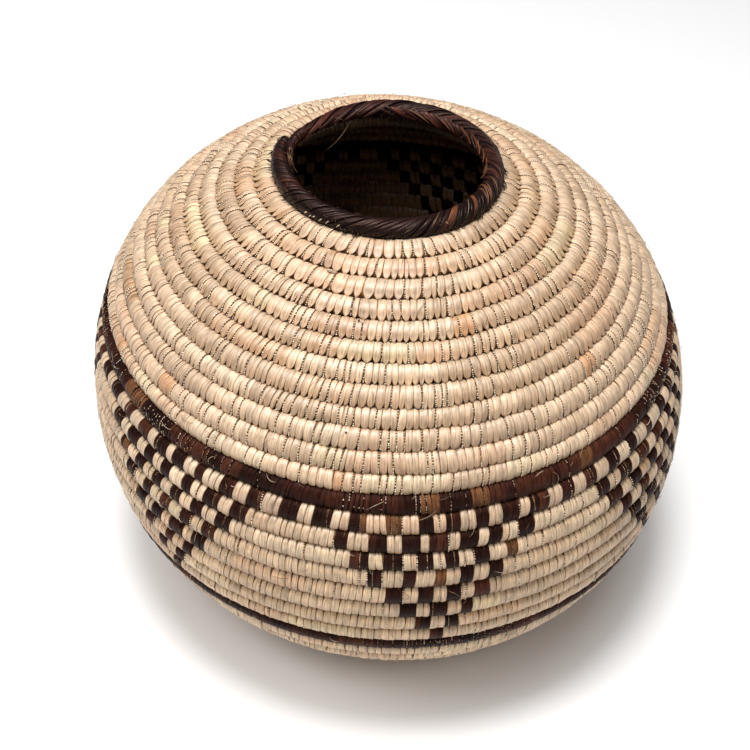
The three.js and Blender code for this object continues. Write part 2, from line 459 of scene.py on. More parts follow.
def path_at(turn):
    """The stitches' ways and widths at these turns."""
    hang = hang_at(turn)
    path = TIGHT_PATH + (HANGING_PATH - TIGHT_PATH) * hang[..., None]
    return path, TIGHT_WIDTH + (HANGING_WIDTH - TIGHT_WIDTH) * hang


# Across a strip: its columns in shares of half its width, and their heights in shares of its dome.
SECTION_U = np.array([-1, -0.955, -0.76, -0.38, 0.02, 0.4, 0.76, 0.955, 1])
SECTION_H = np.array([-2.3, -0.1, 0.62, 0.94, 1.0, 0.9, 0.56, -0.1, -2.3])
SECTION_EDGE = np.abs(SECTION_U) ** 3


def split(start, end, radius, width, rng):
    """Cuts a stretch of the coil, in turns, into strips of about a width in mm. Returns their edges."""
    length = (end - start) * TURN * radius
    count = max(1, round(length / width))
    shares = np.clip(rng.normal(1, WIDTH_SPREAD, count), *WIDTH_LIMITS)
    shares *= np.exp(wobble(np.linspace(start, end, count), *WIDTH_WOBBLE))
    return start + (end - start) * np.concatenate([[0], np.cumsum(shares)]) / shares.sum()


def triangle_azimuth(triangle, pairs):
    """The azimuth that lies so many pairs of checks from a triangle's middle, in degrees. The maker's checks
    are wider on one side of a triangle than on the other."""
    period = 360 / TRIANGLES
    swing, phase = TRIANGLE_SWINGS[triangle]
    strayed = swing * math.sin(TURN * (pairs + phase) / PAIRS_PER_TRIANGLE)
    return TRIANGLE_AZIMUTH + triangle * period + pairs * period / PAIRS_PER_TRIANGLE + strayed


def dark_blocks(index, row, rng):
    """The dark blocks of a check course as (start, end) in turns. The row at the triangles' points has one
    block each, and the top row's go on all round."""
    blocks = row + 1 if row == CHECK_COURSES else row
    found = []
    for triangle in range(TRIANGLES):
        for block in range(blocks):
            pairs = block - (row - 1) / 2 - (1 if row == CHECK_COURSES else 0)
            pairs += rng.normal(0, CHECK_STRAY)
            half = np.clip(rng.normal(*CHECK_WIDTH), *CHECK_LIMITS) / 4
            ends = [triangle_azimuth(triangle, pairs + side * half) for side in (-1, 1)]
            first, last = [turns_from_joint(end) for end in ends]
            lap = math.floor((first + last) / 2)
            found.append((index + max(first - lap, 0), index + min(last - lap, 1)))
    return sorted(found)


def course_layout(index, rng):
    """Edges (start, end) of a course's stitches in turns, and which are dark."""
    start = START_TURN if index == 0 else index
    radius = float(coil_at(index + 0.5)[0][0])
    stretches, last = [], start
    if RING < index < BAND:
        for dark_start, dark_end in dark_blocks(index, index - RING, rng):
            stretches += [(last, dark_start, False), (dark_start, dark_end, True)]
            last = dark_end
    stretches.append((last, index + 1, index in (RING, BAND)))
    edges, dark = [], []
    for first, last, is_dark in stretches:
        if last - first < LEAST_STRETCH:
            continue
        cuts = split(first, last, radius, DARK_WIDTH if is_dark else NATURAL_WIDTH, rng)
        edges += list(zip(cuts[:-1], cuts[1:]))
        dark += [is_dark] * (len(cuts) - 1)
    return np.array(edges), np.array(dark)


def pale_beads(turn, index):
    """Which of these turns of a course lie where the band's slits are beaded with pale fibres."""
    azimuth = np.degrees(azimuth_at(turn)) % 360
    inside = (azimuth > PALE_BEAD_AZIMUTHS[0]) & (azimuth < PALE_BEAD_AZIMUTHS[1])
    return inside & (index == BAND)


def slits(edges, dark, rng):
    """The slits between a course's stitches: where they are in turns, their width in mm, which of them are
    beaded with fibres, and which lie between two dark stitches. On the band the fibres come in clusters."""
    count = len(edges) + 1
    width = rng.uniform(*(LOWER_SLIT if edges[0, 0] < BELLY_TURN + 1 else TIGHT_SLIT), count)
    loose = rng.random(count) < LOOSE_SHARE
    width[loose] = rng.uniform(*LOOSE_SLIT, loose.sum())
    both_dark = np.zeros(count, bool)
    both_dark[1:-1] = dark[1:] & dark[:-1]
    width[both_dark] = rng.uniform(*TIGHT_SLIT, both_dark.sum())
    turn = np.append(edges[:, 0], edges[-1, 1])
    share = np.where(turn > BAND + 1, BEADED_SHARES[0], BEADED_SHARES[1])
    cluster = np.clip(wobble(turn, *CLUSTER_WOBBLE) + BAND_BEADED_SHARE, *BAND_BEADED_LIMITS)
    share = np.where(both_dark, cluster if dark.all() else BEADED_SHARES[2], share)
    share = np.where(pale_beads(turn, round(turn[0])), PALE_BEADED_SHARE, share)
    beaded = rng.random(count) < share
    width[beaded] = BEADED_SLIT * rng.uniform(0.8, 1.15, beaded.sum())
    width[beaded & both_dark] *= 1 if dark.all() else DARK_BEADED_NARROWING
    return turn, width, beaded, both_dark


def open_up(edges, width):
    """Draws the stitches' edges back by half of the slit on either side."""
    radius = coil_at(edges.mean(1))[0][:, 0]
    inset = np.stack([width[:-1], -width[1:]], 1) / 2 / (TURN * radius[:, None])
    return edges + inset


# How uneven the stitches are. Their tips are ragged by so many mm, less so where they are tight, and that
# fades over the first steps from the tip, as does the range of the tips' widths. Seats and tilts are in mm,
# and a tilt has a mean and a spread.
RAG = 0.2
TIGHT_RAG = 0.4
RAG_STEPS = np.array([1.0, 0.8, 0.3])
DOME_SPREAD = 0.2
DOME_LIMITS = (0.5, 1.6)
RIDGE_RANGE = (0.4, 1.3)
FOLD = 0.3
PLEAT = 0.6
SEAT_SPREAD = 0.07
TILT = (0.03, 0.07)
SLANT_SPREAD = 0.03
STEP_SPREAD = 0.02
TIP_RANGE = (0.6, 1.15)
TIP_STEPS = np.array([1.0, 0.8, 0.45, 0.15])
# The fibres of a strip start anywhere up to here in its leaf, in mm, and those of a splint or strand.
STRIP_RANGE = 500
FIBRE_RANGE = 300


def stitch_tubes(edges, colours, rng, dome):
    """The strips between these edges, in turns, as tubes[stitch, step, side]."""
    count = len(edges)
    middle = edges.mean(1)
    at, along, half_height, half_thickness = coil_at(middle)
    radius = at[:, 0]
    span = (edges[:, 1] - edges[:, 0]) * TURN
    share, width = path_at(middle)
    path = share * np.stack([half_thickness, half_height], -1)[:, None, :]
    hang = hang_at(middle)
    ragged = (TIGHT_RAG + (1 - TIGHT_RAG) * hang) * rng.normal(0, RAG, (count, 1))
    path[:, : len(RAG_STEPS), 1] += ragged * RAG_STEPS
    step = unit(np.gradient(path, axis=1))
    normal = np.stack([step[..., 1], -step[..., 0]], -1)
    height = (dome * np.clip(rng.normal(1, DOME_SPREAD, count), *DOME_LIMITS))[:, None, None]
    ridge = 1 + (RIDGE - 1) * rng.uniform(*RIDGE_RANGE, (count, 1))
    folds, pleats = rng.normal(0, 1, (2, count, 1, len(SECTION_U)))
    lift = SECTION_H * height * ridge[..., None]
    lift = lift + height * (FOLD * folds + PLEAT * (ridge[..., None] - 1) * pleats)
    lift = lift + rng.normal(0, SEAT_SPREAD, (count, 1, 1)) + rng.normal(*TILT, (count, 1, 1)) * SECTION_U
    spot = path[:, :, None, :] + normal[:, :, None, :] * lift[..., None]
    slant = STITCH_LEAN + wobble(middle, *SLANT_WOBBLE) + rng.normal(0, SLANT_SPREAD, count)
    width = width * (1 + STEP_SPREAD * rng.normal(0, 1, width.shape))
    width[:, : len(TIP_STEPS)] *= rng.uniform(*TIP_RANGE, (count, 1)) ** (hang * TIP_STEPS)
    turn = azimuth_at(middle)[:, None, None] + (span / 2)[:, None, None] * width[..., None] * SECTION_U
    turn = turn + (slant[:, None] * path[..., 1] / radius[:, None])[..., None]
    places = on_wall(at[:, None, None], along[:, None, None], spot[..., 0], spot[..., 1], turn)
    offset = rng.uniform(0, STRIP_RANGE, (2, count, 1, 1))
    across = (span * radius / 2)[:, None, None] * SECTION_U + offset[0]
    run = lengths_along(path)[..., None] + offset[1]
    # Painted shade: how far a point lies inside the basket, where the material darkens it.
    inner = np.clip((0.35 - share[..., 0]) / 0.7, 0, 1)
    # Painted shade: how low a point lies on the course's outer face, where the material darkens it as if less
    # light falls there.
    low = np.clip((0.35 - share[..., 1]) / 1.35, 0, 1) * (share[..., 0] > 0)
    # Painted shade: inside faces lose more of their colour near the mouth.
    kept = 1 - MOUTH_PAINTED_SHADE * np.interp(middle, MOUTH_PAINTED_SHADE_TURNS, (0, 1))[:, None] * inner
    rings = {"shade": kept[..., None, None], "inner": inner[..., None], "low": low[..., None]}
    return leaf_tubes(places, fibre_map(across, run), colours, edge=SECTION_EDGE, **rings)


# How far the bundle lies within the coil's section, in mm across the wall and along it.
BUNDLE_INSET = (0.32, 0.12)
BUNDLE_RINGS = 97
BUNDLE_SIDES = 14


def bundle_shape(index):
    """The bundle of leaf ribs that a course's stitches wrap."""
    first = START_TURN if index == 0 else index
    stops = np.linspace(first, index + 1, BUNDLE_RINGS)
    at, along, half_height, half_thickness = coil_at(stops)
    angle = np.linspace(0, TURN, BUNDLE_SIDES, endpoint=False)
    across, up = rounded(angle, 2 / ROUNDNESS)
    out = across[None] * (half_thickness - BUNDLE_INSET[0])[:, None]
    rise = up[None] * (half_height - BUNDLE_INSET[1])[:, None]
    places = on_wall(at[:, None], along[:, None], out, rise, azimuth_at(stops)[:, None])[None]
    run = (stops - first) * TURN * at[:, 0]
    fibre = fibre_map(angle * HALF_THICKNESS, run[None, :, None])
    return tubes(places[:, :, ::-1], fibre[:, :, ::-1], columns=1)


# Materials.

class Nodes:
    """A material's nodes, made and linked in short lines. Its noises follow the fibre map."""

    def __init__(self, name):
        self.material = bpy.data.materials.new(name)
        self.material.use_nodes = True
        self.tree = self.material.node_tree
        self.shader = self.tree.nodes["Principled BSDF"]
        self.fibre = self.add("ShaderNodeUVMap", uv_map="fibre").outputs["UV"]

    def feed(self, socket, value):
        if isinstance(value, bpy.types.NodeSocket):
            self.tree.links.new(value, socket)
        else:
            socket.default_value = value

    def set(self, name, value):
        self.feed(self.shader.inputs[name], value)

    def add(self, kind, inputs=None, **settings):
        node = self.tree.nodes.new(kind)
        for key, value in settings.items():
            setattr(node, key, value)
        for key, value in (inputs or {}).items():
            self.feed(node.inputs[key], value)
        return node

    def maths(self, operation, *values):
        return self.add("ShaderNodeMath", dict(enumerate(values)), operation=operation).outputs[0]

    def ramp(self, value, low, high, to_low=0.0, to_high=1.0):
        values = {"Value": value, "From Min": low, "From Max": high, "To Min": to_low, "To Max": to_high}
        return self.add("ShaderNodeMapRange", values, interpolation_type="SMOOTHSTEP").outputs["Result"]

    def attribute(self, name, output="Fac"):
        return self.add("ShaderNodeAttribute", attribute_name=name).outputs[output]

    def noise(self, across, along, detail, rough=0.55):
        """Noise with so many waves to a millimetre across the fibres and along them."""
        vector = self.scaled(self.fibre, (across, along, 1))
        inputs = {"Vector": vector, "Scale": 1.0, "Detail": detail, "Roughness": rough}
        return self.add("ShaderNodeTexNoise", inputs).outputs["Fac"]

    def scaled(self, vector, factors):
        return self.add("ShaderNodeVectorMath", {0: vector, 1: factors}, operation="MULTIPLY").outputs[0]

    def mix(self, factor, first, second):
        return self.add("ShaderNodeMix", {0: factor, 6: first, 7: second}, data_type="RGBA").outputs[2]

    def shade(self, colour, factor):
        """A colour times a number."""
        return self.add("ShaderNodeVectorMath", {0: colour, "Scale": factor}, operation="SCALE").outputs[0]

    def bump(self, height, strength, distance):
        inputs = {"Height": height, "Strength": strength, "Distance": distance}
        self.set("Normal", self.add("ShaderNodeBump", inputs).outputs[0])


def leaf_material(name, streak, blotch, rough, shine, relief, tint, stain, stain_share, shades):
    """Split palm leaf: lengthwise fibres, soft blotches, stained specks, darker edges and a satin skin, and
    painted shade low on its course. shades are what is left of its colour at its edges, which are partly
    dried leaf and partly painted shade in the slits, and the painted shade low on its course and inside the
    basket. relief is in mm."""
    nodes = Nodes(name)
    fine = nodes.noise(5.5, 0.22, 4.0, 0.6)
    broad = nodes.noise(1.7, 0.1, 2.0)
    cloud = nodes.noise(0.35, 0.3, 3.0)
    speck = nodes.noise(2.6, 1.6, 2.0)
    lines = nodes.maths("MULTIPLY_ADD", fine, 0.4, nodes.maths("MULTIPLY", broad, 0.6))
    tone = nodes.ramp(lines, 0.3, 0.7, 1 - streak, 1 + streak * 0.5)
    tone = nodes.maths("MULTIPLY", tone, nodes.ramp(cloud, 0.3, 0.7, 1 - blotch, 1 + blotch * 0.4))
    stained = nodes.maths("MULTIPLY", nodes.ramp(speck, 0.66, 0.78), stain_share)
    base = nodes.mix(stained, nodes.attribute("leaf", "Color"), stain)
    # Painted shade low on the course and inside the basket; at the edges partly painted shade and partly
    # dried leaf.
    for value, start, shade in zip(("edge", "low", "inner"), (0.66, 0.0, 0.0), shades):
        base = nodes.mix(nodes.ramp(nodes.attribute(value), start, 1.0), base, nodes.scaled(base, shade))
    nodes.set("Base Color", nodes.shade(base, tone))
    nodes.set("Roughness", nodes.ramp(lines, 0.3, 0.7, rough - 0.07, rough + 0.1))
    nodes.set("Specular IOR Level", shine)
    nodes.set("Specular Tint", tint)
    nodes.bump(lines, 0.35, relief * MM)
    return nodes.material


def bundle_material(name, light, dark):
    """The bundle's ribs, dark between the stitches."""
    nodes = Nodes(name)
    ribs = nodes.noise(2.2, 0.05, 3.0)
    nodes.set("Base Color", nodes.mix(nodes.ramp(ribs, 0.35, 0.65), dark, light))
    nodes.set("Roughness", nodes.ramp(ribs, 0.3, 0.7, 0.8, 0.95))
    nodes.set("Specular IOR Level", 0.1)
    nodes.bump(ribs, 0.6, 0.3 * MM)
    return nodes.material


# The shades, in order: what is left at the edges, partly dried leaf and partly painted shade in the slits;
# painted shade low on the course; painted shade inside the basket.
NATURAL = leaf_material(
    "natural_palm", streak=0.5, blotch=0.16, rough=0.41, shine=0.66, relief=0.15, tint=(1, 1, 1, 1),
    stain=(0.36, 0.22, 0.11, 1), stain_share=0.5,
    shades=((0.76, 0.6, 0.44), (0.8, 0.71, 0.61), (0.46, 0.39, 0.31)),
)
DARK = leaf_material(
    "dark_palm", streak=0.55, blotch=0.3, rough=0.5, shine=0.08, relief=0.3, tint=(1, 0.6, 0.48, 1),
    stain=(0.13, 0.05, 0.026, 1), stain_share=0.35,
    shades=((0.62, 0.6, 0.58), (0.7, 0.7, 0.7), (0.5, 0.5, 0.5)),
)
SPLINT = leaf_material(
    "rim_splint", streak=0.6, blotch=0.35, rough=0.3, shine=0.24, relief=0.8, tint=(1, 0.7, 0.6, 1),
    stain=(0.13, 0.045, 0.026, 1), stain_share=0.3,
    shades=((0.5, 0.45, 0.42), (0.25, 0.22, 0.2), (1, 1, 1)),
)
BUNDLE = bundle_material("leaf_rib_bundle", (0.24, 0.135, 0.06, 1), (0.075, 0.038, 0.018, 1))
RIM_BUNDLE = bundle_material("dark_bundle", (0.022, 0.010, 0.008, 1), (0.008, 0.004, 0.0035, 1))


# The courses.

# The nodes' names, from the knot up.
COURSE_KINDS = (
    ("base_course_", BASE_COURSES), ("lower_course_", LOWER_COURSES), ("dark_ring_course", 1),
    ("check_course_", CHECK_COURSES), ("dark_band_course", 1), ("shoulder_course_", SHOULDER_COURSES),
)
COURSE_NAMES = [
    kind + (str(number) if kind.endswith("_") else "")
    for kind, count in COURSE_KINDS
    for number in range(1, count + 1)
]


def colour_runs(colours, index, edges, runs, leaves):
    azimuth = np.degrees(azimuth_at(edges.mean(1))) % 360
    for row, first, last, leaf in runs:
        if row == TURNS - index:
            colours[(azimuth > first) & (azimuth < last)] = leaves[leaf][0]


def course_pieces(index):
    name = COURSE_NAMES[index]
    rng = np.random.default_rng([SEED, index])
    edges, dark = course_layout(index, rng)
    turn, slit_width, beaded, both_dark = slits(edges, dark, rng)
    edges = open_up(edges, slit_width)
    pale = pale_beads(turn, index)
    beaded_slits["natural"].extend(turn[beaded & ~both_dark])
    beaded_slits["pale"].extend(turn[beaded & both_dark & pale])
    beaded_slits["band" if dark.all() else "checks"].extend(turn[beaded & both_dark & ~pale])
    material, slot = (RIM_BUNDLE, "dark_palm") if dark.all() else (BUNDLE, "natural_palm")
    add_piece(name + ".bundle", bundle_shape(index), material, slot, name)
    natural = leaf_colours(len(edges), rng, NATURAL_LEAVES.values(), (3, 14), 0.045)
    colour_runs(natural, index, edges, NATURAL_RUNS, NATURAL_LEAVES)
    natural *= LOWER_LEAF + (1 - LOWER_LEAF) * np.interp(index, GREY_TURNS, (0, 1))
    natural_dome = LOWER_DOME + (SHOULDER_DOME - LOWER_DOME) * float(hang_at(index)[0])
    dyed = leaf_colours(len(edges), rng, DARK_LEAVES.values(), (2, 9), 0.15)
    colour_runs(dyed, index, edges, DARK_RUNS, DARK_LEAVES)
    for kind, chosen, colours, material, dome in (
        ("natural", ~dark, natural, NATURAL, natural_dome),
        ("dark", dark, dyed, DARK, DARK_DOME),
    ):
        if chosen.any():
            shape = stitch_tubes(edges[chosen], colours[chosen], rng, dome)
            add_piece(f"{name}.{kind}_stitches", shape, material, f"{kind}_palm", name)


beaded_slits = {"natural": [], "pale": [], "band": [], "checks": []}
for course in range(TURNS):
    course_pieces(course)


# Fibres that show in the slits.

FIBRE_SIDES = 5
OUTER_STEPS = 9
BEAD_PITCH = 0.92
BEADS_TO_PITCH = 2.7
BEAD_LIFT = (0.13, 0.04)
BEAD_REACH = 0.02
BEAD_PIECES = 4
# From which share of the slit's height to which the fibres show, how many of them do, their radius in mm,
# half their length in shares of their pitch, and the shares of their tones.
BEADS = {
    "natural": (0.16, 0.92, 0.95, 0.3, 0.25, (0.85, 0.15, 0.0)),
    "pale": (0.5, 0.96, 0.65, 0.2, 0.33, (0.6, 0.4, 0.0)),
    "band": (0.3, 0.96, 0.6, 0.15, 0.42, (0.1, 0.28, 0.62)),
    "checks": (0.2, 0.96, 0.85, 0.12, 0.5, (0.02, 0.18, 0.8)),
}


def slit_point(turn, share, lift):
    """Places on the stitches' outer face: share runs from the stitch's tip to its top, lift is in mm."""
    at, along, half_height, half_thickness = coil_at(turn)
    paths, _ = path_at(turn)
    steps = OUTER_STEPS * np.clip(share, 0, 0.999)
    before = np.floor(steps).astype(int)
    rows = np.arange(len(turn))
    size = np.stack([half_thickness, half_height], -1)
    first = paths[rows, before] * size
    step = paths[rows, before + 1] * size - first
    spot = first + step * (steps - before)[:, None]
    step = unit(step)
    across, up = spot[:, 0] + lift * step[:, 1], spot[:, 1] - lift * step[:, 0]
    return on_wall(at, along, across, up, azimuth_at(turn))


def wheels(directions):
    """Circles of radius 1 round the directions of paths[strand, step, xyz]."""
    helper = np.where(np.abs(directions[:, :1, 2:]) < 0.8, (0, 0, 1), (1, 0, 0))
    side = unit(np.cross(directions, helper))
    other = np.cross(directions, side)
    angle = np.linspace(0, TURN, FIBRE_SIDES, endpoint=False)[:, None]
    return side[:, :, None] * np.cos(angle) + other[:, :, None] * np.sin(angle)


def spindles(middles, directions, radii, halves):
    """Small closed bodies, pointed at both ends, as tubes[body, ring, side]."""
    ring = np.array([-1, -0.5, 0.5, 1])
    swell = np.array([0.25, 1, 1, 0.25])
    places = middles[:, None, None] + directions[:, None, None] * (ring * halves[:, None])[..., None, None]
    return places + wheels(directions[:, None]) * (swell * radii[:, None])[..., None, None]


def bead_pieces():
    rng = np.random.default_rng([SEED, 101])
    turns, shares, radius, half, colours = [], [], [], [], []
    for kind, (first, last, share, thick, long, tones) in BEADS.items():
        before = len(turns)
        for turn in beaded_slits[kind]:
            half_height = float(coil_at(turn)[2])
            count = int(BEADS_TO_PITCH * (last - first) * half_height / BEAD_PITCH)
            spots = np.linspace(first, last, count) + rng.normal(0, 0.008, count)
            kept = spots[rng.random(count) < share]
            turns += [turn] * len(kept)
            shares += list(kept)
            radius += list(thick * rng.uniform(0.75, 1.15, len(kept)))
            half += list(BEAD_PITCH * long * rng.uniform(0.8, 1.2, len(kept)))
        colours.append(leaf_colours(len(turns) - before, rng, zip(BEAD_TONES, tones), (3, 9), 0.1))
    turns, shares, radius, half = (np.array(each) for each in (turns, shares, radius, half))
    low = slit_point(turns, shares - BEAD_REACH, np.zeros(len(turns)))
    high = slit_point(turns, shares + BEAD_REACH, np.zeros(len(turns)))
    middle = slit_point(turns, shares, rng.normal(*BEAD_LIFT, len(turns)))
    places = spindles(middle, unit(high - low), radius, half)
    colours = np.concatenate(colours)
    for number, part in enumerate(np.array_split(np.arange(len(turns)), BEAD_PIECES)):
        start = rng.uniform(0, FIBRE_RANGE, (len(part), 1, 1, 2))
        fibre = np.broadcast_to(start, (*places[part].shape[:3], 2))
        shape = leaf_tubes(places[part], fibre, colours[part])
        add_piece(f"slit_fibres_{number + 1}", shape, NATURAL, "natural_palm")


bead_pieces()


# The rim.

RIM_DIRECTION = np.array([-math.cos(RIM_LIFT), math.sin(RIM_LIFT)])
RIM_CAP = 2.4
RIM_CORE_INSET = 0.55
RIM_CORE_RINGS = 240
RIM_CORE_SIDES = 12
# How far the core and the splints reach round the blunt start, in turns.
CORE_NOSE = 0.0096
SPLINT_NOSE = 0.0095
FIRST_SPLINT = 0.012
# The start is thinned for the end, which lies against it: by how much in mm, and over how many degrees
# before and after the start. The end is drawn up to it.
SCARF = 1.5
SCARF_BEFORE = 26
SCARF_AFTER = 34
TAIL_PULL = 0.6
SPLINT_WIDTH = 1.4
SPLINT_DOME = 0.19
SPLINT_STEPS = 18
# How uneven the splints are: the spreads of the angles at their two ends, and so on as for the stitches.
# Their ends narrow and sink over a share of their length.
SPLINT_ANGLE_SPREADS = (0.09, 0.10)
SPLINT_SEAT_SPREAD = 0.08
SPLINT_WIDTHS = (0.95, 1.4)
SPLINT_DOMES = (0.7, 1.4)
SPLINT_TILT = (0.12, 0.07)
SPLINT_TIP = 0.12
SPLINT_TIP_WIDTH = 0.25
SPLINT_TIP_DROP = 0.25
# The angles of the rim's section that the splints run between, and those of the chevron's strands, which
# run back on its inside, over these turns from the joint.
OUTER_ANGLES = (math.radians(-62), math.radians(215))
CHEVRON_ANGLES = (math.radians(134), math.radians(232))
CHEVRON = (0.6, 0.86)
CHEVRON_LIFT = 0.16
# How far the splints lean from the coil's direction, in degrees, at these azimuths round the mouth.
SPLINT_LEAN_AZIMUTHS = (154, 175, 200, 225, 262, 285, 320, 350, 390, 450, 514)
SPLINT_LEANS = (72, 66, 58, 40, 28, 50, 58, 46, 34, 27, 34)


def rim_centre(turn):
    under = TURNS - 1 + turn
    middle = (edge_length(under) + edge_length(under - 1)) / 2
    at, along = profile_at(middle)
    pull = RIM_RADIUS - bare_rim_radius(turn)
    pull = pull + np.where(turn > 0.5, 2 * scarf(turn - 1) + TAIL_PULL * tail_share(turn), 0)
    return at + RIM_DIRECTION * RIM_STEP - along * pull[..., None]


def scarf(turn):
    """How much the rim's start is thinned at a turn, and faded out before it."""
    from_start = (turn - RIM_START) * 360
    share = np.clip(np.where(from_start > 0, from_start / SCARF_AFTER, -from_start / SCARF_BEFORE), 0, 1)
    return SCARF * (1 - share * share * (3 - 2 * share))


def tail_share(turn):
    """How far the rim has thinned at a turn, from 0 to 1 at its end."""
    return np.clip((turn - RIM_END) * (360 / RIM_TAPER) + 1, 0, 1)


def bare_rim_radius(turn):
    thinned = RIM_RADIUS + (RIM_END_RADIUS - RIM_RADIUS) * tail_share(turn) ** RIM_TAPER_POWER
    return np.where(turn < 0.5, RIM_RADIUS - scarf(np.maximum(turn, RIM_START)), thinned)


def rim_radius(turn):
    """The rim's radius at a turn: a long taper at its end, and a round nose at its start."""
    nose = RIM_CAP / (TURN * MOUTH_RADIUS)
    before = np.clip((RIM_START - turn) / nose, 0, 0.995)
    return bare_rim_radius(turn) * np.sqrt(1 - before**2)


def rim_place(turn, angle, lift):
    """Places on the rim: angle goes round its section, from outwards over the top to inwards."""
    centre = rim_centre(turn)
    reach = np.maximum(rim_radius(turn) + lift, 0.02)
    out, up = reach * np.cos(angle), reach * np.sin(angle)
    return place(centre[..., 0] + out, centre[..., 1] + up, azimuth_at(turn))


def splint_tubes(stretch, angles, sign, rng, depth):
    """Splints over a stretch of the rim, in turns, that lie aslant from one angle of its section to another.
    sign says whether they run on or back along the coil as they rise."""
    starts, leans = [], []
    turn = stretch[0]
    while turn < stretch[1]:
        azimuth = math.degrees(JOINT_AZIMUTH) + 360 * max(turn, 0)
        azimuth = azimuth if azimuth <= SPLINT_LEAN_AZIMUTHS[-1] else azimuth - 360
        lean = math.radians(np.interp(azimuth, SPLINT_LEAN_AZIMUTHS, SPLINT_LEANS) + rng.normal(0, 3))
        starts.append(turn)
        leans.append(lean)
        radius = float(rim_centre(np.array(turn))[0])
        turn += SPLINT_WIDTH * rng.uniform(0.7, 1.05) / math.sin(lean) / (TURN * radius)
    starts, leans = np.array(starts)[:, None, None], np.array(leans)[:, None, None]
    count = len(starts)
    column = starts.shape
    radius = rim_centre(starts)[..., 0]
    thick = rim_radius(np.maximum(starts, RIM_START))
    share = np.linspace(0, 1, SPLINT_STEPS)[:, None]
    swing = angles[1] - angles[0]
    first, last = [at + rng.normal(0, spread, column) for at, spread in zip(angles, SPLINT_ANGLE_SPREADS)]
    angle = first + (last - first) * share
    advance = sign * swing * thick / np.tan(leans) / (TURN * radius)
    half = SPLINT_WIDTH / 2 * rng.uniform(*SPLINT_WIDTHS, column)
    ends = np.clip(np.minimum(share, 1 - share) / SPLINT_TIP, 0, 1) ** 0.6
    across = half * (SPLINT_TIP_WIDTH + (1 - SPLINT_TIP_WIDTH) * ends) * SECTION_U
    turn = starts + advance * share - sign * across * np.sin(leans) / (TURN * radius)
    around = angle + across * np.cos(leans) / np.maximum(thick, 1.2)
    dome = SPLINT_DOME * rng.uniform(*SPLINT_DOMES, column)
    lift = SECTION_H * dome + depth + rng.normal(0, SPLINT_SEAT_SPREAD, column)
    lift = lift + rng.normal(*SPLINT_TILT, column) * SECTION_U - SPLINT_TIP_DROP * (1 - ends)
    places = rim_place(np.clip(turn, RIM_START - SPLINT_NOSE, RIM_END), around, lift)
    places = places[:, :, ::-1] if sign < 0 else places
    along = np.abs(swing) * thick / np.sin(leans) * share + rng.uniform(0, FIBRE_RANGE, column)
    fibre = fibre_map(across + rng.uniform(0, FIBRE_RANGE, column), along)
    tones = leaf_colours(count, rng, RIM_LEAVES.values(), (1, 5), 0.15)
    # Painted light: splints at the back of the mouth are lighter, a sheen from behind.
    tones *= 1 + np.maximum(np.sin(azimuth_at(starts[:, 0])), 0) * RIM_BACK_PAINTED_LIGHT
    azimuth = np.degrees(azimuth_at(starts[:, 0, 0]))
    warm = (azimuth > RIM_WARM_AZIMUTHS[0]) & (azimuth < RIM_WARM_AZIMUTHS[1])
    warm &= rng.random(count) < RIM_WARM_SHARE
    tones[warm] = RIM_WARM_TONE * rng.uniform(0.5, 1.2, (warm.sum(), 1))
    # Painted shade: the splints darken low on the rim's outer side, under its curve.
    low = np.clip((1.25 - angle) / 1.3, 0, 1)
    return leaf_tubes(places, fibre, tones, edge=SECTION_EDGE, low=low)


def rim_core_shape():
    turns = np.linspace(RIM_START - CORE_NOSE, RIM_END, RIM_CORE_RINGS)
    angle = np.linspace(0, TURN, RIM_CORE_SIDES, endpoint=False)
    places = rim_place(turns[:, None], angle[None, :], -RIM_CORE_INSET)[None]
    fibre = fibre_map(angle * RIM_RADIUS, (turns * TURN * MOUTH_RADIUS)[None, :, None])
    return tubes(places[:, :, ::-1], fibre[:, :, ::-1], columns=1)


def rim_pieces():
    rng = np.random.default_rng([SEED, 102])
    add_piece("rim_coil.core", rim_core_shape(), RIM_BUNDLE, "rim_splint", "rim_coil")
    inner = splint_tubes(CHEVRON, CHEVRON_ANGLES, -1, rng, CHEVRON_LIFT)
    outer = splint_tubes((RIM_START - FIRST_SPLINT, RIM_END), OUTER_ANGLES, 1, rng, 0)
    for name, shape in (("rim_coil.inner_splints", inner), ("rim_coil.outer_splints", outer)):
        add_piece(name, shape, SPLINT, "rim_splint", "rim_coil")


rim_pieces()


# Loose fibres.

STRAND_STEPS = 9
SHARE = np.linspace(0, 1, STRAND_STEPS)
STRAY_COUNT = 420
STRAY_TURNS = ((17, 26.5), (13, TURNS - 0.5))
STRAY_REACH = (2, 8)
THIN_RADII = (0.07, 0.13)
PALE, TAN, DARK_BROWN = np.array([(0.62, 0.46, 0.31), (0.42, 0.26, 0.13), (0.16, 0.08, 0.04)])
STRAY_TONES = (PALE, TAN, DARK_BROWN)
# Loose fibres on the front, from end to end, and dark blobs of painted shade where the awl made holes. A
# place on the wall is an azimuth in degrees and a level, which is a number of courses up it.
HAIRS = (((278.8, 33.45), (282.3, 34.06)), ((286.8, 33.67), (287.3, 34.17)), ((290.8, 31.28), (291.3, 30.08)))
AWL_HOLE_SHADES = ((260.6, 33.88), (263.1, 32.93), (263.3, 28.1))
# A small knot of fibre on the front.
KNOT_STRANDS = 4
KNOT_AZIMUTHS = (249.6, 253)
KNOT_LEVEL = 34.95
